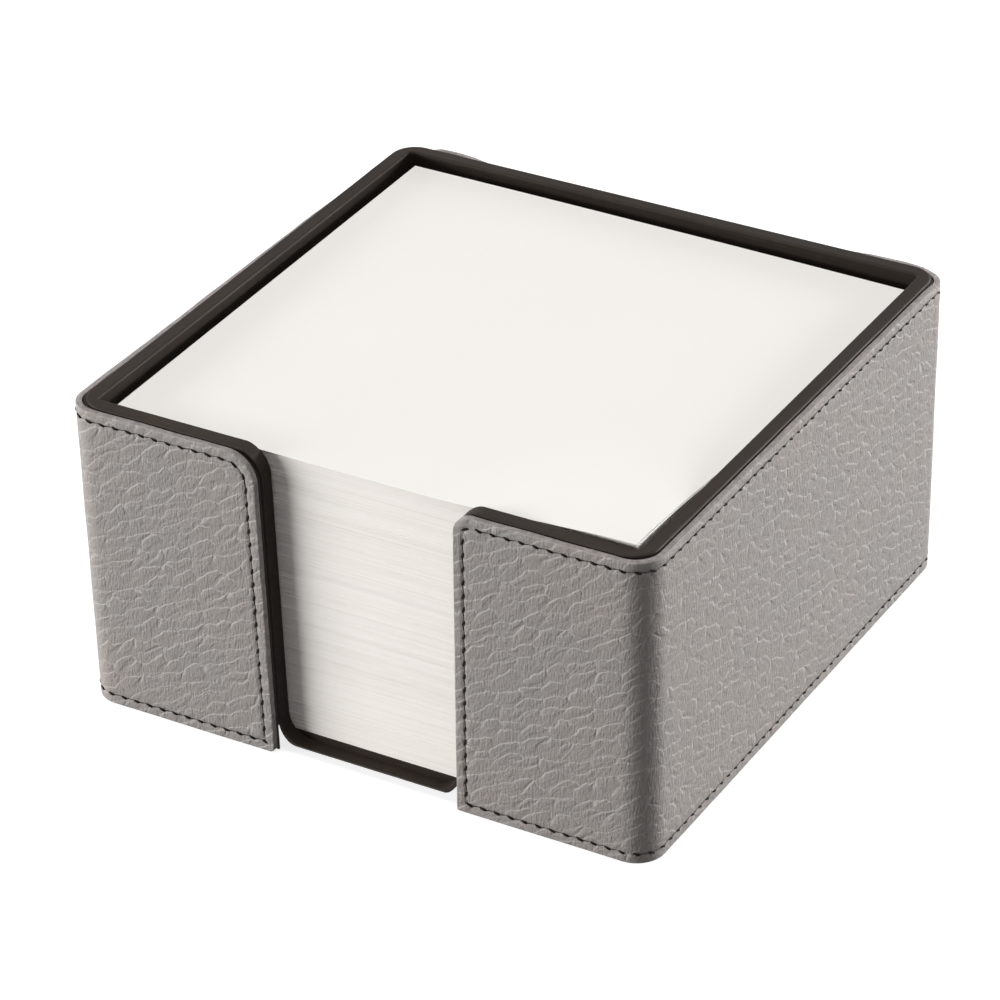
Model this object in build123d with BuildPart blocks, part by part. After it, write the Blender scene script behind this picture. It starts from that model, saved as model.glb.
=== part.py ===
from build123d import *
from math import sqrt
import os

# Memo box: a black moulded tray for loose note paper, wrapped on the outside by one stitched strip of
# leather that leaves a finger notch open at the front.
# Millimetres. Z is up, the desk is z = 0, the notch looks along -Y, and the origin is under the middle.

# Paper refill
sheet_width = 90.0
sheet_depth = 90.0
stack_height = 48.75
sheet_count = 500
packet_count = 10
paper_gap = 0.15

# Tray: the well around the paper, its walls and its floor
well_play = 2.4
wall = 2.5
wall_lean = 0.46
floor_thickness = 1.9
well_corner = 0.5
rim_rise = 1.25
rim_round = 0.4
underside_round = 1.2

# Finger notch in the tray's front wall, and the lip that is left under it
notch_width = 31.0
notch_flare = 0.9
notch_offset = 0.6
notch_shoulder = 5.0
notch_corner = 4.0
finger_dip = 1.0
lip_overlap = 0.4
lip_corner = 4.6
relief_width = 3.0
relief_height = 4.8
relief_depth = 6.8

# Leather strip and its lining
leather_thickness = 1.0
lining_thickness = 0.3
leather_corner = 5.5
leather_drop = 0.35
leather_lift = 0.05
leather_setback = 0.6
lining_trim = 0.2
lining_reveal = 0.2

# Seam that runs round the strip's four edges
seam_inset = 1.65
thread_width = 0.4
thread_depth = 0.25

# Foot pads, each seated in a shallow recess
foot_height = 0.9
foot_diameter = 10.0
foot_recess = 0.3
foot_recess_play = 0.4
foot_chamfer = 0.3
foot_inset = 12.0

# Overrun of every cut past the faces that it opens
overrun = 1.0

# Levels
floor_top = foot_height + floor_thickness
sheet_thickness = stack_height / sheet_count
packet_height = stack_height / packet_count
stack_top = floor_top + stack_height - sheet_thickness
rim_height = floor_top + stack_height + rim_rise
ledge_height = floor_top - finger_dip
leather_top = rim_height - leather_drop

# Insets from the leather's outside to the faces behind it
skin = leather_thickness + lining_thickness
shell = skin + wall

# Outside of the leather at the rim
box_width = sheet_width + well_play + 2 * shell
box_depth = sheet_depth + well_play + 2 * shell


def lean_at(level):
    """How far a wall at this level stands in from where it is at the rim."""
    return wall_lean * (1 - level / rim_height)


def flare_at(level):
    """How far each side of the notch stands out at this level from where it is at the ledge."""
    return notch_flare * (level - ledge_height) / (rim_height - ledge_height)


def leaning_block(inset, corner, bottom, top, mode=Mode.ADD):
    """Rounded block between two levels whose sides follow the walls, inset from the leather's outside."""
    sections = []
    for level in (bottom, top):
        shrink = 2 * (inset + lean_at(level))
        with BuildSketch(Plane.XY.offset(level)) as section:
            RectangleRounded(box_width - shrink, box_depth - shrink, corner)
        sections.append(section.sketch)
    loft(sections, ruled=True, mode=mode)


def notch_opening(setback, bottom, top, shoulder, mode=Mode.ADD):
    """Front view of the notch, with round shoulders where its sides meet the edge at top."""
    low = notch_width / 2 + setback + flare_at(bottom)
    high = notch_width / 2 + setback + flare_at(top)
    wide = high + shoulder + overrun
    above = top + overrun
    outline = [(0, bottom), (low, bottom), (high, top), (wide, top), (wide, above), (0, above)]
    with BuildSketch(mode=Mode.PRIVATE) as opening:
        with BuildLine():
            Polyline(outline, close=True)
        make_face()
        mirror(about=Plane.YZ)
        fillet(opening.vertices().group_by(Axis.Y)[1].sort_by(Axis.X)[1:3], shoulder)
    add(opening.sketch, mode=mode)


# Plane in front of the box, on the notch's middle line, and the way from it to the well's front face
cut_plane = Plane((notch_offset, -box_depth / 2 - overrun, 0), x_dir=(1, 0, 0), z_dir=(0, -1, 0))
cut_depth = overrun + shell + lean_at(floor_top)
os.makedirs("parts", exist_ok=True)


# Foot pads under the tray's corners
foot_places = GridLocations(
    box_width - 2 * (skin + foot_inset), box_depth - 2 * (skin + foot_inset), 2, 2
).locations
foot_names = ["foot_pad_front_left", "foot_pad_back_left", "foot_pad_front_right", "foot_pad_back_right"]
for foot_name, place in zip(foot_names, foot_places):
    with BuildPart() as foot_pad:
        with BuildSketch():
            with Locations(place):
                Circle(foot_diameter / 2)
        extrude(amount=foot_height + foot_recess)
        chamfer(foot_pad.edges().group_by(Axis.Z)[0], foot_chamfer)
    foot_pad.part.label = foot_name
    export_step(foot_pad.part, f"parts/{foot_name}.step")


# Tray: leaning walls round a flat floor
with BuildPart() as inner_tray:
    leaning_block(skin, leather_corner - skin, foot_height, rim_height)
    fillet(inner_tray.edges().group_by(Axis.Z)[0], underside_round)
    leaning_block(shell, well_corner, floor_top, rim_height, mode=Mode.SUBTRACT)
    fillet(inner_tray.edges().group_by(Axis.Z)[-1], rim_round)
    # The notch dips below the floor, so that a finger reaches under the last sheet
    with BuildSketch(cut_plane) as tray_notch:
        notch_opening(0, ledge_height, rim_height, notch_shoulder)
        fillet(tray_notch.vertices().group_by(Axis.Y)[0], notch_corner)
    extrude(amount=-cut_depth, mode=Mode.SUBTRACT)
    # Beside the lip the wall and the floor are cut back, so that the wall runs into the lip in a round bend
    lip_reach = notch_width / 2 + lip_overlap
    round_start = lip_reach - lip_corner
    round_end = foot_height + lip_corner
    relief_top = foot_height + relief_height
    with BuildSketch(cut_plane):
        with BuildLine():
            Line((round_start, foot_height), (round_start, foot_height - overrun))
            Line((round_start, foot_height - overrun), (lip_reach + relief_width, foot_height - overrun))
            Line((lip_reach + relief_width, foot_height - overrun), (lip_reach + relief_width, relief_top))
            Line((lip_reach + relief_width, relief_top), (lip_reach, relief_top))
            Line((lip_reach, relief_top), (lip_reach, round_end))
            CenterArc((round_start, round_end), lip_corner, 270, 90)
        make_face()
        mirror(about=Plane.YZ)
    extrude(amount=-overrun - relief_depth, mode=Mode.SUBTRACT)
    with BuildSketch(Plane.XY.offset(foot_height)):
        with Locations(foot_places):
            Circle((foot_diameter + foot_recess_play) / 2)
    extrude(amount=foot_recess, mode=Mode.SUBTRACT)
inner_tray.part.label = "inner_tray"
export_step(inner_tray.part, "parts/inner_tray.step")


# Lining: thin black backing between the leather and the tray, which shows beyond the flaps' ends
with BuildPart() as band_lining:
    lining_bottom = leather_lift + lining_trim
    lining_top = leather_top - lining_trim
    leaning_block(leather_thickness, leather_corner - leather_thickness, lining_bottom, lining_top)
    leaning_block(skin, leather_corner - skin, lining_bottom - overrun, lining_top + overrun, Mode.SUBTRACT)
    with BuildSketch(cut_plane):
        notch_opening(leather_setback - lining_reveal, lining_bottom - overrun, lining_top, notch_shoulder)
    extrude(amount=-cut_depth, mode=Mode.SUBTRACT)
band_lining.part.label = "band_lining"
export_step(band_lining.part, "parts/band_lining.step")


# Seam: one closed loop of thread, sunk flush in the leather's face
with BuildPart() as seam_thread:
    seam_bottom = leather_lift + seam_inset
    seam_top = leather_top - seam_inset
    seam_setback = leather_setback + seam_inset
    seam_shoulder = notch_shoulder - seam_inset
    leaning_block(0, leather_corner, seam_bottom, seam_top)
    leaning_block(
        thread_depth, leather_corner - thread_depth, seam_bottom - overrun, seam_top + overrun, Mode.SUBTRACT
    )
    with BuildSketch(cut_plane):
        notch_opening(seam_setback, seam_bottom - overrun, seam_top, seam_shoulder)
    extrude(amount=-cut_depth, mode=Mode.SUBTRACT)
    # The loop's inside is open: first on the two flaps, then round the sides and the back
    window_bottom = seam_bottom + thread_width
    window_top = seam_top - thread_width
    window_height = window_top - window_bottom
    with BuildSketch(cut_plane):
        with Locations((0, window_bottom)):
            Rectangle(2 * box_width, window_height, align=(Align.CENTER, Align.MIN))
        notch_opening(
            seam_setback + thread_width,
            window_bottom - overrun,
            window_top,
            seam_shoulder - thread_width,
            Mode.SUBTRACT,
        )
    extrude(amount=-overrun - leather_corner, mode=Mode.SUBTRACT)
    with BuildSketch(Plane.XY.offset(window_bottom)):
        with Locations((0, leather_corner - box_depth / 2)):
            Rectangle(2 * box_width, box_depth, align=(Align.CENTER, Align.MIN))
    extrude(amount=window_height, mode=Mode.SUBTRACT)
seam_thread.part.label = "seam_thread"
export_step(seam_thread.part, "parts/seam_thread.step")


# Leather: one strip from the left flap round the back to the right flap
with BuildPart() as leather_band:
    leaning_block(0, leather_corner, leather_lift, leather_top)
    leaning_block(
        leather_thickness,
        leather_corner - leather_thickness,
        leather_lift - overrun,
        leather_top + overrun,
        Mode.SUBTRACT,
    )
    with BuildSketch(cut_plane):
        notch_opening(leather_setback, leather_lift - overrun, leather_top, notch_shoulder)
    extrude(amount=-cut_depth, mode=Mode.SUBTRACT)
    add(seam_thread.part, mode=Mode.SUBTRACT)
leather_band.part.label = "leather_band"
export_step(leather_band.part, "parts/leather_band.step")


def paper_plane(level):
    """Plane of a sheet at this level, pushed to the well's front right as far as the corner lets it."""
    standoff = shell + lean_at(level) + paper_gap + well_corner * (1 - sqrt(1 / 2))
    push_right = (box_width - sheet_width) / 2 - standoff
    push_front = (box_depth - sheet_depth) / 2 - standoff
    return Plane((push_right, -push_front, level))


# Paper: packets of loose sheets that lean out with the walls, the last one short of the top sheet
for number in range(packet_count):
    packet_name = f"paper_packet_{number + 1:02d}"
    packet_bottom = floor_top + packet_height * number
    packet_top = min(packet_bottom + packet_height, stack_top)
    with BuildPart() as paper_packet:
        with BuildSketch(paper_plane(packet_bottom)):
            Rectangle(sheet_width, sheet_depth)
        extrude(amount=packet_top - packet_bottom)
    paper_packet.part.label = packet_name
    export_step(paper_packet.part, f"parts/{packet_name}.step")


# Top sheet, the next one to be taken
with BuildPart() as top_sheet:
    with BuildSketch(paper_plane(stack_top)):
        Rectangle(sheet_width, sheet_depth)
    extrude(amount=sheet_thickness)
top_sheet.part.label = "top_sheet"
export_step(top_sheet.part, "parts/top_sheet.step")
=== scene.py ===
"""Memo box: the looks of a desk box for loose note paper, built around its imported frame.

A black moulded tray holds a stack of white sheets. A strip of grey pebbled leather, stitched round its edges, is
wrapped round the outside and leaves a finger notch open at the front. Lengths in the panel are metres. The
modelling below works in millimetres, which become the frame's metres when a piece is put in place.
"""

import math
import random
from functools import partial

import bmesh
import bpy
from mathutils import Matrix, Vector, noise


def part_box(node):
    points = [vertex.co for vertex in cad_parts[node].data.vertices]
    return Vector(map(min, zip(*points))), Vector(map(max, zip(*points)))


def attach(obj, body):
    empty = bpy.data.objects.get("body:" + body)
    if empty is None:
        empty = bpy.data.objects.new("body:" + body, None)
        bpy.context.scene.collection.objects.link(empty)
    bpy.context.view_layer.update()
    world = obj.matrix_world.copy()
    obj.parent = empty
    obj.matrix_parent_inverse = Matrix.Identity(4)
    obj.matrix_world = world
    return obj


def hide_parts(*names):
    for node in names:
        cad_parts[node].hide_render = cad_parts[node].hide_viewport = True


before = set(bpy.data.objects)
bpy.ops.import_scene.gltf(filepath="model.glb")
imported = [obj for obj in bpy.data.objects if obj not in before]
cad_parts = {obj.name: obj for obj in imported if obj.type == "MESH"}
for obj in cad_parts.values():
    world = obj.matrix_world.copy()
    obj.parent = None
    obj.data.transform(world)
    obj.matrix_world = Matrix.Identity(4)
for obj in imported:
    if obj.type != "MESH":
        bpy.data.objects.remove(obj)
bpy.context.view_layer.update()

bl_info = {
    "name": "Memo Box",
    "version": (1, 0, 0),
    "blender": (4, 5, 0),
    "location": "3D View > Sidebar > Memo Box",
    "description": "Dresses the packed memo box in leather, thread, plastic and paper",
    "category": "Object",
}

MM = 0.001

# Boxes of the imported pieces, in millimetres
LEATHER_LOW, LEATHER_HIGH = (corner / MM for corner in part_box("leather_band"))
TRAY_LOW, TRAY_HIGH = (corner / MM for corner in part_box("inner_tray"))
TOP_LOW, TOP_HIGH = (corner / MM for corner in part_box("top_sheet"))
PACKETS = sorted(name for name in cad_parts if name.startswith("paper_packet"))
FOOT_PADS = sorted(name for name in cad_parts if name.startswith("foot_pad"))


# Settings


def length(name, description, default):
    """A length that a user can change, in metres."""
    return bpy.props.FloatProperty(
        name=name, description=description, default=default, unit="LENGTH", precision=5
    )


def angle(name, description, degrees):
    """An angle that a user can change."""
    return bpy.props.FloatProperty(
        name=name, description=description, default=math.radians(degrees), subtype="ANGLE"
    )


def colour(name, description, default):
    """A surface colour, in linear light."""
    return bpy.props.FloatVectorProperty(
        name=name, description=description, default=default, subtype="COLOR", size=3, min=0.0, max=1.0
    )


def amount(name, description, default):
    """A plain number that a user can change."""
    return bpy.props.FloatProperty(name=name, description=description, default=default)


class MEMOBOX_PG_leather(bpy.types.PropertyGroup):
    """Sizes and colours of the leather strip."""

    thickness: length("Thickness", "Thickness of the leather", 0.001)
    corner: length("Corner", "Radius of the strip's outside at the box's corners", 0.0047)
    lean: length("Lean", "How far the walls lean out between the desk and the rim", 0.00046)
    left_end: length("Left end", "Place of the left flap's end, at its foot", 0.01547)
    right_end: length("Right end", "Place of the right flap's end, at its foot", 0.01667)
    flare: length("Flare", "How far each flap's end leans away from the notch", 0.00092)
    left_shoulder: length("Left shoulder", "Radius of the left flap's top corner", 0.005)
    right_shoulder: length("Right shoulder", "Radius of the right flap's top corner", 0.003)
    left_foot: length("Left foot", "Radius of the left flap's lower corner", 0.001)
    right_foot: length("Right foot", "Radius of the right flap's lower corner", 0.0005)
    wave: length("Wave", "Unevenness of the strip's upper edge", 0.00012)
    swell: length("Swell", "Unevenness of the strip's face", 0.00006)
    face: colour("Face", "Colour of the grain side", (0.274, 0.256, 0.243))
    # Painted highlight: a lighter colour on the pebbles' upper edges, where light from above falls
    painted_highlight: colour("Painted highlight", "Colour of the pebbles' upper edges", (0.420, 0.398, 0.382))
    edge: colour("Cut edge", "Colour of the bare cut edge", (0.240, 0.208, 0.200))


class MEMOBOX_PG_seam(bpy.types.PropertyGroup):
    """Sizes and colour of the seam."""

    inset: length("Inset", "Distance of the seam from the strip's edge", 0.00165)
    groove: length("Groove", "Depth of the groove that the thread pulls into the leather", 0.00018)
    groove_width: length("Groove width", "Width of that groove", 0.0007)
    pitch: length("Pitch", "Length of one stitch", 0.00235)
    dash: length("Dash", "Length of the thread that shows at each hole", 0.00118)
    thread: length("Thread", "Thickness of the thread", 0.00044)
    link: length("Link", "Thickness of the thread between two holes, where it is pulled tight", 0.00016)
    slant: angle("Slant", "Turn of each stitch across the seam", 21.0)
    colour: colour("Colour", "Colour of the thread", (0.007, 0.0055, 0.0048))


class MEMOBOX_PG_paper(bpy.types.PropertyGroup):
    """Sizes and colours of the loose sheets."""

    sheets: bpy.props.IntProperty(name="Sheets", description="Sheets in one packet", default=50, min=2)
    gap: length("Gap", "Air between two sheets", 0.000012)
    jitter: length("Jitter", "How far single sheets stand out of line", 0.000018)
    drift: length("Drift", "How far groups of sheets stand out of line", 0.00007)
    front_curl: length("Front curl", "Rise of the front right corner", 0.0019)
    left_sag: length("Left sag", "Sag of the front left corner", 0.0006)
    back_sag: length("Back sag", "Sag of the back right corner", 0.0008)
    curl_reach: length("Curl reach", "Distance from its corner at which the curl begins", 0.036)
    curl_depth: length("Curl depth", "Depth in the stack at which the curl has mostly died away", 0.003)
    face: colour("Face", "Colour of a sheet", (0.900, 0.876, 0.835))
    # Side is painted light: lighter and warmer than Face, for the warm light that bounces between the sheets. Edge
    # is painted shade between sheets that stand out of line.
    side: colour("Side", "Colour of the sheets' cut edges", (0.942, 0.899, 0.861))
    edge: colour("Edge", "Colour of the darkest sheets' cut edges", (0.800, 0.745, 0.690))


class MEMOBOX_PG_tray(bpy.types.PropertyGroup):
    """Colours of the tray, its lining and its pads."""

    plastic: colour("Plastic", "Colour of the tray", (0.025, 0.018, 0.0138))
    lining: colour("Lining", "Colour of the lining", (0.010, 0.009, 0.008))
    rubber: colour("Rubber", "Colour of the foot pads", (0.022, 0.022, 0.022))


class MEMOBOX_PG_stage(bpy.types.PropertyGroup):
    """Camera and lights."""

    camera: bpy.props.FloatVectorProperty(
        name="Camera", description="Place of the camera", default=(0.31439, -0.54381, 0.40196), subtype="XYZ"
    )
    azimuth: angle("Azimuth", "Turn of the view round the box", 30.312)
    elevation: angle("Elevation", "Height of the view", 31.083)
    roll: angle("Roll", "Tilt of the view", -1.274)
    lens: amount("Lens", "Focal length on a 36 mm sensor, in millimetres", 168.46)
    left_power: amount("Left light", "Power in watts", 19.4)
    right_power: amount("Right light", "Power in watts", 20.1)
    top_power: amount("Top light", "Power in watts", 7.35)
    ambient: amount("Ambient", "Strength of the world's light", 0.14)


# Shader helpers

# A relief with no stretch
EVEN = (1.0, 1.0, 1.0)
# Shares of a mottle's two noises, and the range of their sum over which it fades in
BROAD_SHARE, FINE_SHARE = 0.6, 0.4
MOTTLE_FADE = (0.35, 0.65)


def fill(tree, node, values):
    """Sets a node's inputs, by name or number, to values or links."""
    for name, value in values.items():
        if isinstance(value, bpy.types.NodeSocket):
            tree.links.new(value, node.inputs[name])
        else:
            node.inputs[name].default_value = value
    return node


def put(tree, kind, values, **settings):
    """Adds a node with its settings and inputs."""
    node = tree.nodes.new(kind)
    for name, value in settings.items():
        setattr(node, name, value)
    return fill(tree, node, values)


def combine(tree, operation, first, second):
    """The result of one sum on two values or sockets."""
    return put(tree, "ShaderNodeMath", {0: first, 1: second}, operation=operation).outputs[0]


def weigh(tree, first, first_share, second, second_share):
    """Two values added up by their shares."""
    parts = combine(tree, "MULTIPLY", first, first_share), combine(tree, "MULTIPLY", second, second_share)
    return combine(tree, "ADD", *parts)


def combine_vectors(tree, operation, first, second):
    """The result of one sum on two vectors."""
    return put(tree, "ShaderNodeVectorMath", {0: first, 1: second}, operation=operation).outputs[0]


def stretch_place(tree, place, scale):
    """Coordinates scaled along each axis."""
    return put(tree, "ShaderNodeMapping", {"Vector": place, "Scale": scale}).outputs[0]


def ease(tree, value, low, high, start, end):
    """A value eased from start to end while the input goes from low to high."""
    values = {"Value": value, "From Min": low, "From Max": high, "To Min": start, "To Max": end}
    return put(tree, "ShaderNodeMapRange", values, interpolation_type="SMOOTHSTEP").outputs["Result"]


def blend_colours(tree, factor, first, second):
    """A colour between two others."""
    return put(tree, "ShaderNodeMix", {0: factor, 6: first, 7: second}, data_type="RGBA").outputs[2]


def opaque(rgb, gain=1.0):
    """A panel colour as a shader colour."""
    return (*(channel * gain for channel in rgb), 1.0)


def shader_group(name, inputs, output):
    """A node group with named inputs and one float output, and its two end nodes."""
    group = bpy.data.node_groups.new(name, "ShaderNodeTree")
    for socket, kind in inputs:
        group.interface.new_socket(socket, in_out="INPUT", socket_type=kind)
    group.interface.new_socket(output, in_out="OUTPUT", socket_type="NodeSocketFloat")
    return group, group.nodes.new("NodeGroupInput"), group.nodes.new("NodeGroupOutput")


def put_group(tree, group, values):
    """Places a shared group in a material with its own values."""
    node = tree.nodes.new("ShaderNodeGroup")
    node.node_tree = group
    return fill(tree, node, values)


def mottle_group():
    """Slow change of tone over a surface: a mask from 0 to 1 out of two sizes of noise."""
    group = bpy.data.node_groups.get("surface_mottle")
    if group:
        return group
    inputs = [("Vector", "NodeSocketVector"), ("Broad", "NodeSocketFloat"), ("Fine", "NodeSocketFloat")]
    group, start, end = shader_group("surface_mottle", inputs, "Mask")
    place, sizes = start.outputs["Vector"], start.outputs
    broad = put(group, "ShaderNodeTexNoise", {"Vector": place, "Scale": sizes["Broad"], "Detail": 3.0})
    fine = put(group, "ShaderNodeTexNoise", {"Vector": place, "Scale": sizes["Fine"], "Detail": 4.0})
    total = weigh(group, broad.outputs[0], BROAD_SHARE, fine.outputs[0], FINE_SHARE)
    group.links.new(ease(group, total, *MOTTLE_FADE, 0.0, 1.0), end.inputs["Mask"])
    return group


def mottle(tree, place, broad, fine):
    """The shared mottle's mask, with patches of two sizes given in patches per metre."""
    values = {"Vector": place, "Broad": broad, "Fine": fine}
    return put_group(tree, mottle_group(), values).outputs["Mask"]


def relief_group():
    """Fine relief of a moulded, pressed or cut surface: a height out of stretched noise."""
    group = bpy.data.node_groups.get("fine_relief")
    if group:
        return group
    inputs = [("Vector", "NodeSocketVector"), ("Stretch", "NodeSocketVector"), ("Scale", "NodeSocketFloat")]
    group, start, end = shader_group("fine_relief", inputs, "Height")
    place = combine_vectors(group, "MULTIPLY", start.outputs["Vector"], start.outputs["Stretch"])
    values = {"Vector": place, "Scale": start.outputs["Scale"], "Detail": 5.0, "Roughness": 0.6}
    height = put(group, "ShaderNodeTexNoise", values).outputs[0]
    group.links.new(height, end.inputs["Height"])
    return group


def relief(tree, place, scale, stretch=EVEN):
    """The shared relief's height, in grains per unit of the coordinates, stretched along the axes."""
    values = {"Vector": place, "Stretch": stretch, "Scale": scale}
    return put_group(tree, relief_group(), values).outputs["Height"]


def bump(tree, surface, height, depth):
    """Gives a surface a relief of that height and depth, in metres."""
    node = put(tree, "ShaderNodeBump", {"Height": height, "Strength": 1.0, "Distance": depth})
    tree.links.new(node.outputs[0], surface.inputs["Normal"])


def two_tone(tree, surface, mask, rgb, dark, light):
    """Colours a surface between a darker and a lighter tone of one colour."""
    tones = opaque(rgb, dark), opaque(rgb, light)
    tree.links.new(blend_colours(tree, mask, *tones), surface.inputs["Base Color"])


def new_material(name, **values):
    """A material with only its surface, with those inputs set, and its output."""
    material = bpy.data.materials.new(name)
    material.use_nodes = True
    tree = material.node_tree
    tree.nodes.clear()
    surface = tree.nodes.new("ShaderNodeBsdfPrincipled")
    output = tree.nodes.new("ShaderNodeOutputMaterial")
    tree.links.new(surface.outputs[0], output.inputs["Surface"])
    for socket, value in values.items():
        surface.inputs[socket.replace("_", " ")].default_value = value
    return material, tree, surface


def object_place(tree):
    """Object coordinates, in metres."""
    return tree.nodes.new("ShaderNodeTexCoord").outputs["Object"]


# Materials

# From the flat strip's metres to millimetres
GROWN = (1000.0, 1000.0, 1000.0)
# One pebble, in cells: width of its slope below and above, half the height over which this changes, width of the
# painted highlight along its upper edge, and the heights between which that painted highlight fades in
PEBBLE_RANDOMNESS = 0.78
PEBBLE_SLOPE = (0.60, 0.15)
SLOPE_CHANGE = 0.25
PAINTED_HIGHLIGHT_WIDTH = 0.09
PAINTED_HIGHLIGHT_FADE = (0.02, 0.30)
# Size of the pebbles along and across, in millimetres, and how much higher their upper side stands
LARGE_PEBBLE, LARGE_TILT = (4.2, 2.4), 0.5
SMALL_PEBBLE, SMALL_TILT = (1.9, 1.3), 0.4
# Strength of the pebbles: a range of slow noise, and the strengths at its two ends
LARGE_STRENGTH = (0.35, 0.65, 0.55, 1.1)
SMALL_STRENGTH = (0.40, 0.60, 0.30, 0.08)
STRENGTH_SCALE = 0.16
# Wandering of the rows: waves per millimetre, and swing in millimetres
WANDER_SCALE, WANDER_SWING = 0.26, 2.4
# Wrinkles and pores: grains per millimetre, and their height beside the pebbles'
WRINKLE_SCALE, WRINKLE_HEIGHT = (3.2, 0.75, 1.0), 1.25
PORE_SCALE, PORE_HEIGHT = 1.6, 1.2
# Share of the painted highlight's colour on the pebbles' upper edges
PAINTED_HIGHLIGHT_SHARE = 0.75
# The leather's warm patches beside its cool ones, per channel, and the cool ones' darkness
WARM_TONE = (1.035, 0.995, 0.985)
COOL_GAIN = 0.97
# Paper: layers per metre along and up, and the share of the darker colour from pale to dark layers, a painted shade
# between the sheets
LAYER_SCALE = (14.0, 14.0, 3600.0)
LAYER_SHADE = (0.46, 0.72, 0.0, 0.55)
# Slopes between which a face turns from a sheet's cut edge into its face
SIDE_FADE = (0.3, 0.7, 1.0, 0.0)


def pebbles(tree, place, cell, tilt):
    """Height of pebbles of that size along and across, in millimetres. Each rises softly from below to a sharp
    upper edge, so that it laps over the next one as on shrunken leather. The second result is the mask of a painted
    highlight along those upper edges."""
    cells = stretch_place(tree, place, (1.0 / cell[0], 1.0 / cell[1], 1.0))
    values = {"Vector": cells, "Scale": 1.0, "Randomness": PEBBLE_RANDOMNESS}
    edges = put(tree, "ShaderNodeTexVoronoi", values, feature="DISTANCE_TO_EDGE", voronoi_dimensions="2D")
    centres = put(tree, "ShaderNodeTexVoronoi", values, feature="F1", voronoi_dimensions="2D")
    inward = edges.outputs["Distance"]
    local = combine_vectors(tree, "SUBTRACT", cells, centres.outputs["Position"])
    over = put(tree, "ShaderNodeSeparateXYZ", {0: local}).outputs[1]
    crown = combine(tree, "ADD", combine(tree, "MULTIPLY", over, tilt), 1.0)
    width = ease(tree, over, -SLOPE_CHANGE, SLOPE_CHANGE, *PEBBLE_SLOPE)
    rise = ease(tree, inward, 0.0, width, 0.0, 1.0)
    # Painted highlight: a thin band along each pebble's edge, kept only on its upper side, where light from above
    # falls
    near = ease(tree, inward, 0.0, PAINTED_HIGHLIGHT_WIDTH, 1.0, 0.0)
    rim = combine(tree, "MULTIPLY", near, ease(tree, over, *PAINTED_HIGHLIGHT_FADE, 0.0, 1.0))
    return combine(tree, "MULTIPLY", rise, crown), rim


def flat_noise(tree, place, scale, detail):
    """Noise on the flat strip, with its value and its colour as the first two outputs."""
    values = {"Vector": place, "Scale": scale, "Detail": detail}
    return put(tree, "ShaderNodeTexNoise", values, noise_dimensions="2D").outputs


def leather_material(leather):
    """Grain side: lapping pebbles in wavy rows, broken up by smaller ones, and fine upright wrinkles, with a
    highlight painted on the pebbles' upper edges.
    """
    material, tree, surface = new_material("grey_pebbled_leather", Specular_IOR_Level=0.25, IOR=1.45)
    flat = tree.nodes.new("ShaderNodeUVMap")
    flat.uv_map = "flat"
    place = stretch_place(tree, flat.outputs[0], GROWN)
    wander = flat_noise(tree, place, WANDER_SCALE, 2.0)[1]
    centred = combine_vectors(tree, "SUBTRACT", wander, (0.5, 0.5, 0.5))
    swing = {0: centred, "Scale": WANDER_SWING}
    offset = put(tree, "ShaderNodeVectorMath", swing, operation="SCALE").outputs[0]
    warped = combine_vectors(tree, "ADD", place, offset)
    large, large_painted_highlights = pebbles(tree, warped, LARGE_PEBBLE, LARGE_TILT)
    small, small_painted_highlights = pebbles(tree, warped, SMALL_PEBBLE, SMALL_TILT)
    wrinkle = flat_noise(tree, stretch_place(tree, place, WRINKLE_SCALE), 1.0, 4.0)[0]
    presence = flat_noise(tree, place, STRENGTH_SCALE, 2.0)[0]
    strong, weak = ease(tree, presence, *LARGE_STRENGTH), ease(tree, presence, *SMALL_STRENGTH)
    grain = weigh(tree, large, strong, small, weak)
    fine = weigh(tree, wrinkle, WRINKLE_HEIGHT, relief(tree, place, PORE_SCALE), PORE_HEIGHT)
    bump(tree, surface, combine(tree, "ADD", grain, fine), depth=0.00009)
    tone = mottle(tree, object_place(tree), broad=55.0, fine=420.0)
    warm = [channel * gain for channel, gain in zip(leather.face, WARM_TONE)]
    face = blend_colours(tree, tone, opaque(leather.face, COOL_GAIN), opaque(warm))
    # The painted highlight on the pebbles' upper edges, mixed into the grain's colour
    painted_highlight_mask = weigh(tree, large_painted_highlights, strong, small_painted_highlights, weak)
    painted_highlight = combine(tree, "MULTIPLY", painted_highlight_mask, PAINTED_HIGHLIGHT_SHARE)
    tree.links.new(blend_colours(tree, painted_highlight, face, opaque(leather.painted_highlight)), surface.inputs["Base Color"])
    tree.links.new(ease(tree, wrinkle, 0.3, 0.7, 0.54, 0.66), surface.inputs["Roughness"])
    return material


def cut_edge_material(leather):
    """Bare cut edge of the leather: napped and darker, with the fibres showing."""
    material, tree, surface = new_material(
        "leather_cut_edge", Roughness=0.9, Sheen_Weight=0.3, Sheen_Roughness=0.5
    )
    place = object_place(tree)
    tone = mottle(tree, place, broad=900.0, fine=4200.0)
    two_tone(tree, surface, tone, leather.edge, dark=0.72, light=1.25)
    bump(tree, surface, relief(tree, place, 5200.0), depth=0.00012)
    return material


def thread_material(seam):
    """Dark twisted thread."""
    material, tree, surface = new_material("twisted_thread", Roughness=0.75, Specular_IOR_Level=0.15)
    values = {"Vector": object_place(tree), "Scale": 2600.0, "Distortion": 1.5}
    ply = put(tree, "ShaderNodeTexWave", values, bands_direction="DIAGONAL").outputs["Fac"]
    two_tone(tree, surface, ply, seam.colour, dark=0.8, light=1.6)
    bump(tree, surface, ply, depth=0.00003)
    return material


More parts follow.
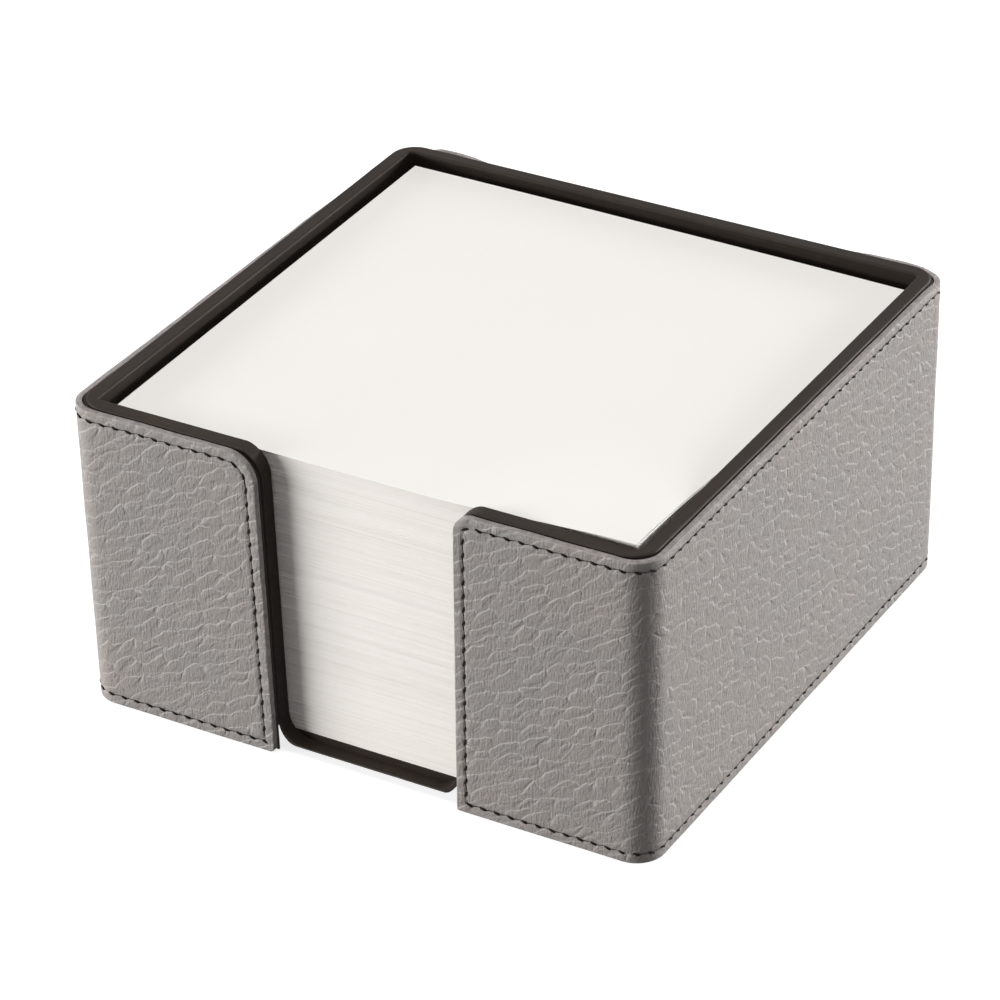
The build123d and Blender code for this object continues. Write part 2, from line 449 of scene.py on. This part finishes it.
def tray_material(tray):
    """Satin black moulded plastic, with faint level lines from the mould."""
    material, tree, surface = new_material("satin_black_plastic", IOR=1.5, Specular_IOR_Level=0.12)
    place = object_place(tree)
    tone = mottle(tree, place, broad=40.0, fine=700.0)
    lines = relief(tree, place, 2400.0, stretch=(0.02, 0.02, 1.0))
    streaked = combine(tree, "MULTIPLY", tone, ease(tree, lines, 0.35, 0.65, 0.2, 1.0))
    two_tone(tree, surface, streaked, tray.plastic, dark=0.8, light=1.3)
    tree.links.new(ease(tree, lines, 0.3, 0.7, 0.48, 0.62), surface.inputs["Roughness"])
    bump(tree, surface, lines, depth=0.00002)
    return material


def lining_material(tray):
    """Thin black backing cloth."""
    material, tree, surface = new_material("black_backing", Roughness=0.95)
    place = object_place(tree)
    tone = mottle(tree, place, broad=300.0, fine=3000.0)
    two_tone(tree, surface, tone, tray.lining, dark=0.7, light=1.4)
    bump(tree, surface, relief(tree, place, 4000.0), depth=0.00005)
    return material


def rubber_material(tray):
    """Matt black rubber."""
    material, tree, surface = new_material("foot_rubber", Specular_IOR_Level=0.3)
    place = object_place(tree)
    tone = mottle(tree, place, broad=150.0, fine=1500.0)
    two_tone(tree, surface, tone, tray.rubber, dark=0.85, light=1.25)
    tree.links.new(ease(tree, tone, 0.0, 1.0, 0.72, 0.85), surface.inputs["Roughness"])
    bump(tree, surface, relief(tree, place, 3000.0), depth=0.00003)
    return material


def paper_material(paper):
    """Uncoated white paper. Its cut edges are painted lighter and warmer than its face, as warm light bounced
    between the sheets, and those of some sheets are painted darker, as shade between the sheets.
    """
    material, tree, surface = new_material("uncoated_paper", Roughness=0.88, Specular_IOR_Level=0.2)
    place = object_place(tree)
    layers = {
        "Vector": stretch_place(tree, place, LAYER_SCALE), "Scale": 1.0, "Detail": 3.0, "Roughness": 0.7
    }
    layer = put(tree, "ShaderNodeTexNoise", layers).outputs[0]
    normal = tree.nodes.new("ShaderNodeNewGeometry").outputs["Normal"]
    upright = put(tree, "ShaderNodeSeparateXYZ", {0: normal}).outputs[2]
    side = ease(tree, combine(tree, "ABSOLUTE", upright, 0.0), *SIDE_FADE)
    tone = mottle(tree, place, broad=30.0, fine=2500.0)
    face = blend_colours(tree, tone, opaque(paper.face, 0.992), opaque(paper.face, 1.005))
    # Painted shade: darker bands on the cut edges of some sheets; the others get the lighter, warmer colour of
    # painted bounce light
    shade = ease(tree, layer, *LAYER_SHADE)
    cut = blend_colours(tree, shade, opaque(paper.side), opaque(paper.edge))
    tree.links.new(blend_colours(tree, side, face, cut), surface.inputs["Base Color"])
    bump(tree, surface, relief(tree, place, 9000.0), depth=0.000006)
    return material


# Geometry helpers


def smooth(share):
    """A share from 0 to 1, eased at both ends."""
    return share * share * (3.0 - 2.0 * share)


def clamp(share):
    """A share held between 0 and 1."""
    return min(max(share, 0.0), 1.0)


def steps(start, end, pitch):
    """Even places between start and end, both included."""
    count = max(1, round(abs(end - start) / pitch))
    return [start + (end - start) * i / count for i in range(count + 1)]


def link_object(name, data):
    """A new object in the scene."""
    item = bpy.data.objects.new(name, data)
    bpy.context.scene.collection.objects.link(item)
    return item


def finish_piece(bm, name, materials, body, nodes, sharp):
    """Turns a bmesh into a piece that rides on its body and stands for its nodes. Edges sharper than the angle,
    in degrees, stay sharp."""
    bm.normal_update()
    bmesh.ops.recalc_face_normals(bm, faces=bm.faces[:])
    mesh = bpy.data.meshes.new(name)
    bm.to_mesh(mesh)
    bm.free()
    for material in materials:
        mesh.materials.append(material)
    mesh.shade_smooth()
    mesh.set_sharp_from_angle(angle=math.radians(sharp))
    piece = link_object(name, mesh)
    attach(piece, body)
    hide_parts(*nodes)
    return piece


def dress_node(node, material):
    """Gives a CAD node its material."""
    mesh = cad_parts[node].data
    mesh.materials.clear()
    mesh.materials.append(material)


# Leather strip and seam

# The strip's edge in section: its depth at the edge, then distance in from the edge and depth, in millimetres
EDGE_DEPTH = 0.16
EDGE_SECTION = [(0.06, 0.05), (0.18, 0.0), (0.9, 0.0)]
CENTRE_INSET = 2.5
# Faces that are steeper than this to the flat strip belong to its cut edge
CUT_EDGE_SLOPE = 0.45
SHOULDER_SEGMENTS = 9
# Lengths of the strip's cells: on the sides and the back, in the corners, on the flaps, and upward, in millimetres
SIDE_PITCH = 3.0
TURN_PITCH = 0.85
FLAP_PITCH = 2.0
LEVEL_PITCH = 3.4
CUT_MERGE = 0.00001
# Cuts beside the flaps' lower corners, which let these be rounded, in millimetres
FOOT_STEPS = [0.13, 0.3, 0.55, 0.8]
# Unevenness of the face and of the upper edge: waves per millimetre, and a place in the noise
SWELL_ALONG, SWELL_UP, SWELL_SEED = 0.11, 0.13, 7.0
WAVE_ALONG, WAVE_SEED = 0.16, 3.0
# The uneven cut of the upper edge: how far down it is felt, then place along the strip and height over the even
# cut, in millimetres
EDGE_REACH = 9.0
EDGE_CUT = [
    (-142.0, 0.0), (-120.0, -0.35), (-98.0, -0.5), (-80.0, -0.75), (-64.0, -1.1), (-46.0, -0.9), (-43.6, -0.75),
    (-42.4, 0.0), (-39.5, 0.1), (-36.5, -0.1), (-34.0, -0.6), (0.0, -0.65), (32.0, -0.6), (36.0, -0.25),
    (41.5, -0.06), (44.5, -0.2), (47.5, -0.6), (51.0, -0.45), (54.5, -0.08), (62.0, 0.0),
]
# Slopes of the grain's rows, and where the flaps' own begins, in millimetres along the strip
SIDE_DRIFT = -0.17
FLAP_DRIFT = 0.67
DRIFT_START = 146.0
# Stitches: seed, spread of their turn in radians and of their length, how far they and the links between them are
# sunk in the groove, and where on a stitch its link begins
STITCH_SEED = 11
STITCH_TURN = 0.08
STITCH_SPREAD = (0.9, 1.12)
STITCH_SINK, LINK_SINK = 0.35, 0.95
LINK_START = 0.35
STITCH_SEGMENTS, LINK_SEGMENTS = 8, 6
LEATHER_SHARP, THREAD_SHARP = 40.0, 60.0


class StripWrap:
    """Carries the flat strip onto the leaning box, in millimetres. Along runs from the middle of the back, to the
    right where it is positive, depth goes in from the leather's face, and level is the height over the desk."""

    def __init__(self, leather):
        self.corner = leather.corner / MM
        self.lean = leather.lean / MM
        self.rim = TRAY_HIGH.z
        self.flat = LEATHER_HIGH.x + self.lean * (1 - LEATHER_HIGH.z / self.rim) - self.corner
        self.turn = self.corner * math.pi / 2
        self.front = 3 * self.flat + 2 * self.turn
        # Where the strip enters its corners, on its right half
        self.corner_starts = [self.flat, 3 * self.flat + self.turn]
        # Where the flaps end, at their foot
        self.left_end = -self.along_front(leather.left_end / MM, LEATHER_LOW.z)
        self.right_end = self.along_front(leather.right_end / MM, LEATHER_LOW.z)

    def flat_at(self, level):
        """Half the straight stretch of a side at a level."""
        return self.flat - self.lean * (1 - level / self.rim)

    def along_front(self, x, level):
        """How far along the strip a place on the front face is."""
        return self.front + self.flat_at(level) - abs(x)

    def place(self, point):
        """The place in the frame, in metres, of a point (along, depth, level)."""
        along, depth, level = point
        flat = self.flat_at(level)
        ratio = flat / self.flat
        reach = self.corner - depth
        rest = abs(along)
        first, second = self.corner_starts
        if rest <= first:
            x, y = rest * ratio, flat + reach
        elif rest <= first + self.turn:
            bend = (rest - first) / self.corner
            x, y = flat + reach * math.sin(bend), flat + reach * math.cos(bend)
        elif rest <= second:
            x, y = flat + reach, flat - (rest - first - self.turn) * ratio
        elif rest <= self.front:
            bend = (rest - second) / self.corner
            x, y = flat + reach * math.cos(bend), -flat - reach * math.sin(bend)
        else:
            x, y = flat - (rest - self.front), -flat - reach
        return Vector((math.copysign(x, along), y, level)) * MM


def flat_strip(leather, wrap, depth):
    """The strip laid flat: a bmesh with one face, with its two shoulders rounded, and that face."""
    low, high = LEATHER_LOW.z, LEATHER_HIGH.z
    left, right, flare = leather.left_end / MM, leather.right_end / MM, leather.flare / MM
    outline = [
        (wrap.left_end, low),
        (wrap.right_end, low),
        (wrap.along_front(right + flare, high), high),
        (-wrap.along_front(left + flare, high), high),
    ]
    bm = bmesh.new()
    corners = [bm.verts.new((along, depth, level)) for along, level in outline]
    bm.faces.new(corners)
    for corner, radius in ((corners[2], leather.right_shoulder), (corners[3], leather.left_shoulder)):
        bmesh.ops.bevel(
            bm,
            geom=[corner],
            offset=radius / MM,
            offset_type="OFFSET",
            segments=SHOULDER_SEGMENTS,
            profile=0.5,
            affect="VERTICES",
            material=-1,
        )
    bm.faces.ensure_lookup_table()
    return bm, bm.faces[0]


def inset_to(bm, centre, done, distance, depth):
    """Draws the next loop at a distance from the strip's edge, and gives it its depth."""
    bmesh.ops.inset_region(
        bm, faces=[centre], thickness=distance - done, use_even_offset=True, use_boundary=True
    )
    for vert in centre.verts:
        vert.co.y = depth
    return distance


def cut_across(bm, axis, places):
    """Cuts the flat strip at each place along an axis."""
    normal = Vector((axis == 0, 0, axis == 2))
    for place in places:
        parts = bm.verts[:] + bm.edges[:] + bm.faces[:]
        bmesh.ops.bisect_plane(bm, geom=parts, dist=CUT_MERGE, plane_co=normal * place, plane_no=normal)


def edge_lift(along, level, leather):
    """How far the strip's upper edge stands over its even cut: a slight wave, and the uneven cut at the back."""
    near = max(0.0, 1.0 - (LEATHER_HIGH.z - level) / EDGE_REACH)
    wave = leather.wave / MM * noise.noise(Vector((along * WAVE_ALONG, 0.0, WAVE_SEED)))
    for (start, first), (end, last) in zip(EDGE_CUT, EDGE_CUT[1:]):
        if start <= along < end:
            wave += first + (last - first) * smooth((along - start) / (end - start))
    return wave * near * near


def round_foot(leather, wrap, along, level):
    """The place of a point on the flat strip after the flaps' lower corners are rounded off."""
    far, radius = (-wrap.left_end, leather.left_foot) if along < 0 else (wrap.right_end, leather.right_foot)
    radius /= MM
    out = 1.0 - (far - abs(along)) / radius
    down = 1.0 - (level - LEATHER_LOW.z) / radius
    if out <= 0.0 or down <= 0.0:
        return along, level
    out, down = min(out, 1.0), min(down, 1.0)
    pulled_out = out * math.sqrt(1.0 - down * down / 2)
    pulled_down = down * math.sqrt(1.0 - out * out / 2)
    return along - math.copysign((out - pulled_out) * radius, along), level + (down - pulled_down) * radius


def grain_drift(along):
    """How far the rows of the grain stand over a level line: they climb to the right on the two flaps."""
    beyond = math.copysign(max(0.0, abs(along) - DRIFT_START), along)
    return FLAP_DRIFT * beyond + SIDE_DRIFT * along


def cut_strip(bm, wrap):
    """Cuts the flat strip into cells that are small enough for its bends and its rounded corners."""
    first, second = wrap.corner_starts
    stretches = [
        (first, SIDE_PITCH),
        (first + wrap.turn, TURN_PITCH),
        (second, SIDE_PITCH),
        (second + wrap.turn, TURN_PITCH),
        (wrap.front + wrap.flat, FLAP_PITCH),
    ]
    half_cuts = [0.0]
    for end, pitch in stretches:
        half_cuts += steps(half_cuts[-1], end, pitch)[1:]
    cut_across(bm, 0, [-place for place in half_cuts[:0:-1]] + half_cuts)
    low, high = LEATHER_LOW.z, LEATHER_HIGH.z
    cut_across(bm, 2, steps(low + CENTRE_INSET, high - CENTRE_INSET, LEVEL_PITCH))
    for step in FOOT_STEPS:
        cut_across(bm, 0, [wrap.left_end + step, wrap.right_end - step])
        cut_across(bm, 2, [low + step])


def build_leather(leather, seam):
    """The strip: outline, rounded edge and seam groove drawn flat, thickened, and wrapped round the box."""
    wrap = StripWrap(leather)
    bm, centre = flat_strip(leather, wrap, EDGE_DEPTH)
    inset, half_groove = seam.inset / MM, seam.groove_width / MM / 2
    section = EDGE_SECTION + [
        (inset - half_groove, 0.0),
        (inset, seam.groove / MM),
        (inset + half_groove, 0.0),
        (CENTRE_INSET, 0.0),
    ]
    done = 0.0
    for distance, depth in section:
        done = inset_to(bm, centre, done, distance, depth)
    cut_strip(bm, wrap)
    for vert in bm.verts:
        along, depth, level = vert.co
        swell = noise.noise(Vector((along * SWELL_ALONG, level * SWELL_UP, SWELL_SEED)))
        vert.co.y = depth - leather.swell / MM * swell
        vert.co.x, level = round_foot(leather, wrap, along, level)
        vert.co.z = level + edge_lift(along, level, leather)
    flat_layer = bm.loops.layers.uv.new("flat")
    grown = bmesh.ops.extrude_face_region(bm, geom=bm.faces[:], use_keep_orig=True)["geom"]
    for part in grown:
        if isinstance(part, bmesh.types.BMVert):
            part.co.y = leather.thickness / MM
    bm.normal_update()
    for face in bm.faces:
        face.material_index = int(abs(face.normal.y) < CUT_EDGE_SLOPE)
        for loop in face.loops:
            along, depth, level = loop.vert.co
            loop[flat_layer].uv = (along * MM, (level + grain_drift(along)) * MM)
    for vert in bm.verts:
        vert.co = wrap.place(vert.co)
    materials = [leather_material(leather), cut_edge_material(leather)]
    piece = finish_piece(
        bm, "leather_strip", materials, "holder", ["leather_band"], LEATHER_SHARP
    )


def seam_places(leather, seam, wrap):
    """Even places along the seam with their ways, as (along, level) pairs on the flat strip."""
    bm, centre = flat_strip(leather, wrap, 0.0)
    inset_to(bm, centre, 0.0, seam.inset / MM, 0.0)
    loop = [Vector((vert.co.x, vert.co.z)) for vert in centre.verts]
    bm.free()
    runs = [(start, end - start) for start, end in zip(loop, loop[1:] + loop[:1])]
    total = sum(run.length for start, run in runs)
    count = round(total / (seam.pitch / MM))
    places = []
    passed = 0.0
    for start, run in runs:
        while len(places) < count and len(places) * total / count <= passed + run.length:
            share = (len(places) * total / count - passed) / run.length
            places.append((start + run * share, run.normalized()))
        passed += run.length
    return places


def flat_turn(way):
    """Rotation that lays a shape's Z axis along a way on the flat strip."""
    return Vector((way.x, 0.0, way.y)).to_track_quat("Z", "Y").to_matrix().to_4x4()


def build_stitches(leather, seam):
    """A dash of thread at each hole, and the tight thread between two holes, sunk in the seam's groove."""
    wrap = StripWrap(leather)
    rng = random.Random(STITCH_SEED)
    places = seam_places(leather, seam, wrap)
    groove, thread, dash, link = (part / MM for part in (seam.groove, seam.thread, seam.dash, seam.link))
    bm = bmesh.new()
    for index, (place, way) in enumerate(places):
        lean = way.copy()
        lean.rotate(Matrix.Rotation(seam.slant + rng.uniform(-STITCH_TURN, STITCH_TURN), 2))
        long = dash * rng.uniform(*STITCH_SPREAD)
        middle = Matrix.Translation((place.x, groove * STITCH_SINK, place.y))
        size = Matrix.Diagonal((thread, thread, long, 1.0))
        bmesh.ops.create_uvsphere(
            bm,
            u_segments=STITCH_SEGMENTS,
            v_segments=STITCH_SEGMENTS,
            radius=0.5,
            matrix=middle @ flat_turn(lean) @ size,
        )
        after = places[(index + 1) % len(places)][0]
        start, end = place + lean * long * LINK_START, after - lean * long * LINK_START
        span, half_way = end - start, (start + end) / 2
        middle = Matrix.Translation((half_way.x, groove * LINK_SINK, half_way.y))
        bmesh.ops.create_cone(
            bm,
            cap_ends=True,
            segments=LINK_SEGMENTS,
            radius1=link / 2,
            radius2=link / 2,
            depth=span.length,
            matrix=middle @ flat_turn(span.normalized()),
        )
    for vert in bm.verts:
        point = vert.co.copy()
        point.z += edge_lift(point.x, point.z, leather)
        vert.co = wrap.place(point)
    materials = [thread_material(seam)]
    finish_piece(bm, "seam_stitches", materials, "holder", ["seam_thread"], THREAD_SHARP)


# Paper

# Room that the walls leave a sheet at the front and the right, depth that a curl or sag goes down to, and how far
# in from the left edge its sag begins, in millimetres
SHEET_ROOM = 0.2
SAG_DEPTH = 4.8
LEFT_REACH = 14.0
# A sheet's turn, in radians
SHEET_TURN = 0.0003
# Drift of groups of sheets, slow and quick: waves per sheet, share of the drift, and a place in the noise
SHEET_DRIFTS = [(0.11, 1.0, 2.0), (0.45, 0.6, 6.0)]
AXIS_STEP = 9.0
# How the top sheet lies on the stack: shift in millimetres, and turn in radians
TOP_SHIFT = (-0.1, -0.12, -0.003)
# Cells along each side of a curled sheet
PACKET_CELLS, TOP_CELLS = 12, 48
PAPER_SHARP = 30.0


def curl_lift(paper, x, y, level):
    """Rise of the sheets at the front right corner, and sag at the back right and front left ones, most at the
    top of the stack."""
    deep = TOP_HIGH.z - level
    away = math.hypot(TOP_HIGH.x - x, TOP_LOW.y - y)
    near = max(0.0, 1.0 - away / (paper.curl_reach / MM))
    rise = paper.front_curl / MM * smooth(near) * math.exp(-deep / (paper.curl_depth / MM))
    span = TOP_HIGH - TOP_LOW
    across, along = (x - TOP_LOW.x) / span.x, clamp((y - TOP_LOW.y) / span.y)
    behind = (clamp(across) * along) ** 2
    beside = max(0.0, 1.0 - across * span.x / LEFT_REACH) * (1.0 - along)
    sag = paper.back_sag / MM * behind + paper.left_sag / MM * beside
    return (rise - sag) * max(0.0, 1.0 - deep / SAG_DEPTH)


def sheet_shift(paper, rng, index):
    """How far one sheet lies out of line with the stack, and its turn."""
    jitter, drift = paper.jitter / MM, paper.drift / MM
    shift = []
    for axis in (0, 1):
        group = sum(
            drift * share * noise.noise(Vector((index * waves, axis * AXIS_STEP, seed)))
            for waves, share, seed in SHEET_DRIFTS
        )
        shift.append(group + rng.gauss(0.0, jitter))
    return min(shift[0], SHEET_ROOM), max(shift[1], -SHEET_ROOM), rng.gauss(0.0, SHEET_TURN)


def add_sheet(bm, middle, size, level, thickness, shift, cells, lift):
    """One sheet: a flat slab, or a grid of cells that follows a lift."""
    turn = Matrix.Rotation(shift[2], 4, "Z")
    base = Matrix.Translation((middle.x + shift[0], middle.y + shift[1], level)) @ turn
    if not lift:
        raised = Matrix.Translation((0.0, 0.0, thickness / 2))
        slab = raised @ Matrix.Diagonal((size.x, size.y, thickness, 1.0))
        bmesh.ops.create_cube(bm, size=1.0, matrix=base @ slab)
        return
    scale = Matrix.Diagonal((size.x, size.y, 1.0, 1.0))
    grid = bmesh.ops.create_grid(bm, x_segments=cells, y_segments=cells, size=0.5, matrix=base @ scale)
    verts = grid["verts"]
    faces = list(dict.fromkeys(face for vert in verts for face in vert.link_faces))
    grown = bmesh.ops.extrude_face_region(bm, geom=faces, use_keep_orig=True)["geom"]
    top = [part for part in grown if isinstance(part, bmesh.types.BMVert)]
    bmesh.ops.translate(bm, verts=top, vec=(0.0, 0.0, thickness))
    for vert in verts + top:
        vert.co.z += lift(vert.co.x, vert.co.y, level)


def finish_paper(bm, name, material, body, node):
    """Turns sheets in millimetres into a piece of paper in the frame."""
    bmesh.ops.scale(bm, verts=bm.verts[:], vec=(MM, MM, MM))
    finish_piece(bm, name, [material], body, [node], PAPER_SHARP)


def build_packet(paper, name, first, material):
    """The loose sheets of one packet, a little out of line with each other. Only the uppermost packet curls."""
    low, high = (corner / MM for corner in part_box(name))
    pitch = TOP_HIGH.z - TOP_LOW.z
    count = round((high.z - low.z) / pitch)
    rng = random.Random(first)
    middle, size = (low + high) / 2, high - low
    lift = partial(curl_lift, paper) if TOP_LOW.z - high.z < pitch else None
    bm = bmesh.new()
    for index in range(count):
        level = low.z + pitch * index + paper.gap / MM / 2
        shift = sheet_shift(paper, rng, first + index)
        add_sheet(bm, middle, size, level, pitch - paper.gap / MM, shift, PACKET_CELLS, lift)
    finish_paper(bm, name.replace("packet", "sheets"), material, "paper_refill", name)


def build_top_sheet(paper, material):
    """The sheet that is next to be taken, a little askew on the stack and curled like it."""
    middle, size = (TOP_LOW + TOP_HIGH) / 2, TOP_HIGH - TOP_LOW
    bm = bmesh.new()
    level = TOP_LOW.z + paper.gap / MM / 2
    lift = partial(curl_lift, paper)
    add_sheet(bm, middle, size, level, size.z - paper.gap / MM, TOP_SHIFT, TOP_CELLS, lift)
    finish_paper(bm, "loose_top_sheet", material, "top_sheet", "top_sheet")


# Stage

SENSOR_WIDTH = 36.0
# Lights: turn round the box and rise over the desk in degrees, distance, and width and height in metres
LIGHTS = {
    "left": (-55.0, 4.0, 1.1, (0.75, 0.26)),
    "right": (140.0, 4.0, 1.1, (0.7, 0.26)),
    "top": (0.0, 89.0, 1.0, (0.6, 0.6)),
}
# The place that they look at, half way up the box
LIGHT_TARGET = (0.0, 0.0, 0.026)
WHITE = (1.0, 1.0, 1.0)
# The floor: half its width in metres, its grey and its glow where it is seen, and its grey for light that bounces
FLOOR_REACH = 4.0
FLOOR_GREY = 0.45
FLOOR_GLOW = 0.8
FLOOR_BOUNCE = 0.2


def way_from(turn, rise):
    """Direction from the box to a place at that turn round it and that rise over the desk, in radians."""
    return Vector((math.sin(turn) * math.cos(rise), -math.cos(turn) * math.cos(rise), math.sin(rise)))


def build_camera(stage):
    """The camera, at the view of the photograph."""
    turn, tilt = stage.azimuth, stage.roll
    back = way_from(turn, stage.elevation)
    level = Vector((math.cos(turn), math.sin(turn), 0.0))
    upright = back.cross(level)
    right = level * math.cos(tilt) + upright * math.sin(tilt)
    up = upright * math.cos(tilt) - level * math.sin(tilt)
    data = bpy.data.cameras.new("camera")
    data.sensor_width = SENSOR_WIDTH
    data.sensor_fit = "HORIZONTAL"
    data.lens = stage.lens
    camera = link_object("camera", data)
    axes = Matrix((right, up, back)).transposed().to_4x4()
    camera.matrix_world = Matrix.Translation(stage.camera) @ axes
    bpy.context.scene.camera = camera


def add_light(name, turn, rise, distance, size, power):
    """A soft rectangular light that looks at the box."""
    data = bpy.data.lights.new(name, "AREA")
    data.shape = "RECTANGLE"
    data.size, data.size_y = size
    data.energy = power
    light = link_object(name, data)
    way = way_from(math.radians(turn), math.radians(rise))
    light.location = way * distance + Vector(LIGHT_TARGET)
    light.rotation_euler = way.to_track_quat("Z", "Y").to_euler()


def seen_directly(tree):
    """Mask of what the camera sees directly, in a mirror or through glass."""
    path = tree.nodes.new("ShaderNodeLightPath")
    seen = combine(tree, "ADD", path.outputs["Is Camera Ray"], path.outputs["Is Glossy Ray"])
    total = combine(tree, "ADD", seen, path.outputs["Is Transmission Ray"])
    return combine(tree, "MINIMUM", total, 1.0)


def build_world(stage):
    """White behind the box, and a weak even light round it."""
    world = bpy.data.worlds.new("studio")
    bpy.context.scene.world = world
    world.use_nodes = True
    tree = world.node_tree
    background = tree.nodes["Background"]
    background.inputs["Color"].default_value = opaque(WHITE)
    values = {"Value": seen_directly(tree), "To Min": stage.ambient, "To Max": 1.0}
    strength = put(tree, "ShaderNodeMapRange", values)
    tree.links.new(strength.outputs["Result"], background.inputs["Strength"])


def build_floor():
    """A pale floor that shows white and keeps the box's shadow, but throws little light back up."""
    bm = bmesh.new()
    bmesh.ops.create_grid(bm, x_segments=1, y_segments=1, size=FLOOR_REACH)
    mesh = bpy.data.meshes.new("floor")
    bm.to_mesh(mesh)
    bm.free()
    floor = link_object("floor", mesh)
    material = bpy.data.materials.new("pale_floor")
    material.use_nodes = True
    tree = material.node_tree
    tree.nodes.clear()
    shown = put(tree, "ShaderNodeBsdfDiffuse", {"Color": opaque(WHITE, FLOOR_GREY)})
    glow = put(tree, "ShaderNodeEmission", {"Color": opaque(WHITE), "Strength": FLOOR_GLOW})
    white = put(tree, "ShaderNodeAddShader", {0: shown.outputs[0], 1: glow.outputs[0]})
    dim = put(tree, "ShaderNodeBsdfDiffuse", {"Color": opaque(WHITE, FLOOR_BOUNCE)})
    mixed = put(tree, "ShaderNodeMixShader", {0: seen_directly(tree), 1: dim.outputs[0], 2: white.outputs[0]})
    put(tree, "ShaderNodeOutputMaterial", {"Surface": mixed.outputs[0]})
    mesh.materials.append(material)


# Operators


class MEMOBOX_OT_leather_strip(bpy.types.Operator):
    """Wrap the leather strip round the box"""

    bl_idname = "memobox.leather_strip"
    bl_label = "Leather strip"

    def execute(self, context):
        build_leather(context.scene.memobox_leather, context.scene.memobox_seam)
        return {"FINISHED"}


class MEMOBOX_OT_seam_stitches(bpy.types.Operator):
    """Sew the seam round the leather strip"""

    bl_idname = "memobox.seam_stitches"
    bl_label = "Seam stitches"

    def execute(self, context):
        build_stitches(context.scene.memobox_leather, context.scene.memobox_seam)
        return {"FINISHED"}


class MEMOBOX_OT_tray_finish(bpy.types.Operator):
    """Give the tray, its lining and its foot pads their finishes"""

    bl_idname = "memobox.tray_finish"
    bl_label = "Tray, lining and pads"

    def execute(self, context):
        tray = context.scene.memobox_tray
        dress_node("inner_tray", tray_material(tray))
        dress_node("band_lining", lining_material(tray))
        rubber = rubber_material(tray)
        for pad in FOOT_PADS:
            dress_node(pad, rubber)
        return {"FINISHED"}


class MEMOBOX_OT_paper_stack(bpy.types.Operator):
    """Stack the loose sheets and lay the top sheet on them"""

    bl_idname = "memobox.paper_stack"
    bl_label = "Paper stack"

    def execute(self, context):
        paper = context.scene.memobox_paper
        material = paper_material(paper)
        for number, packet in enumerate(PACKETS):
            build_packet(paper, packet, number * paper.sheets, material)
        build_top_sheet(paper, material)
        return {"FINISHED"}


class MEMOBOX_OT_stage(bpy.types.Operator):
    """Set up the camera, the lights, the world and the floor"""

    bl_idname = "memobox.stage"
    bl_label = "Stage"

    def execute(self, context):
        stage = context.scene.memobox_stage
        context.scene.view_settings.view_transform = "Standard"
        build_camera(stage)
        build_world(stage)
        build_floor()
        for side, place in LIGHTS.items():
            add_light(f"{side}_light", *place, getattr(stage, f"{side}_power"))
        return {"FINISHED"}


class MEMOBOX_PT_panel(bpy.types.Panel):
    """Sizes, colours and steps of the memo box"""

    bl_idname = "MEMOBOX_PT_panel"
    bl_label = "Memo Box"
    bl_space_type = "VIEW_3D"
    bl_region_type = "UI"
    bl_category = "Memo Box"

    def draw(self, context):
        for holder in HOLDERS:
            box = self.layout.box()
            settings = getattr(context.scene, holder)
            for name in settings.bl_rna.properties.keys():
                if name not in ("rna_type", "name"):
                    box.prop(settings, name)
        for operator in OPERATORS:
            self.layout.operator(operator.bl_idname)


HOLDERS = {
    "memobox_leather": MEMOBOX_PG_leather,
    "memobox_seam": MEMOBOX_PG_seam,
    "memobox_paper": MEMOBOX_PG_paper,
    "memobox_tray": MEMOBOX_PG_tray,
    "memobox_stage": MEMOBOX_PG_stage,
}
OPERATORS = [
    MEMOBOX_OT_tray_finish,
    MEMOBOX_OT_leather_strip,
    MEMOBOX_OT_seam_stitches,
    MEMOBOX_OT_paper_stack,
    MEMOBOX_OT_stage,
]


def register():
    """Registers the classes and hangs the settings on the scene."""
    for item in [*HOLDERS.values(), *OPERATORS, MEMOBOX_PT_panel]:
        bpy.utils.register_class(item)
    for holder, settings in HOLDERS.items():
        setattr(bpy.types.Scene, holder, bpy.props.PointerProperty(type=settings))


def unregister():
    """Takes the settings off the scene and the classes out again."""
    for holder in HOLDERS:
        delattr(bpy.types.Scene, holder)
    for item in [MEMOBOX_PT_panel, *OPERATORS, *HOLDERS.values()]:
        bpy.utils.unregister_class(item)


def main():
    """Builds the whole box."""
    register()
    bpy.ops.memobox.tray_finish()
    bpy.ops.memobox.leather_strip()
    bpy.ops.memobox.seam_stitches()
    bpy.ops.memobox.paper_stack()
    bpy.ops.memobox.stage()


if __name__ == "__main__":
    main()
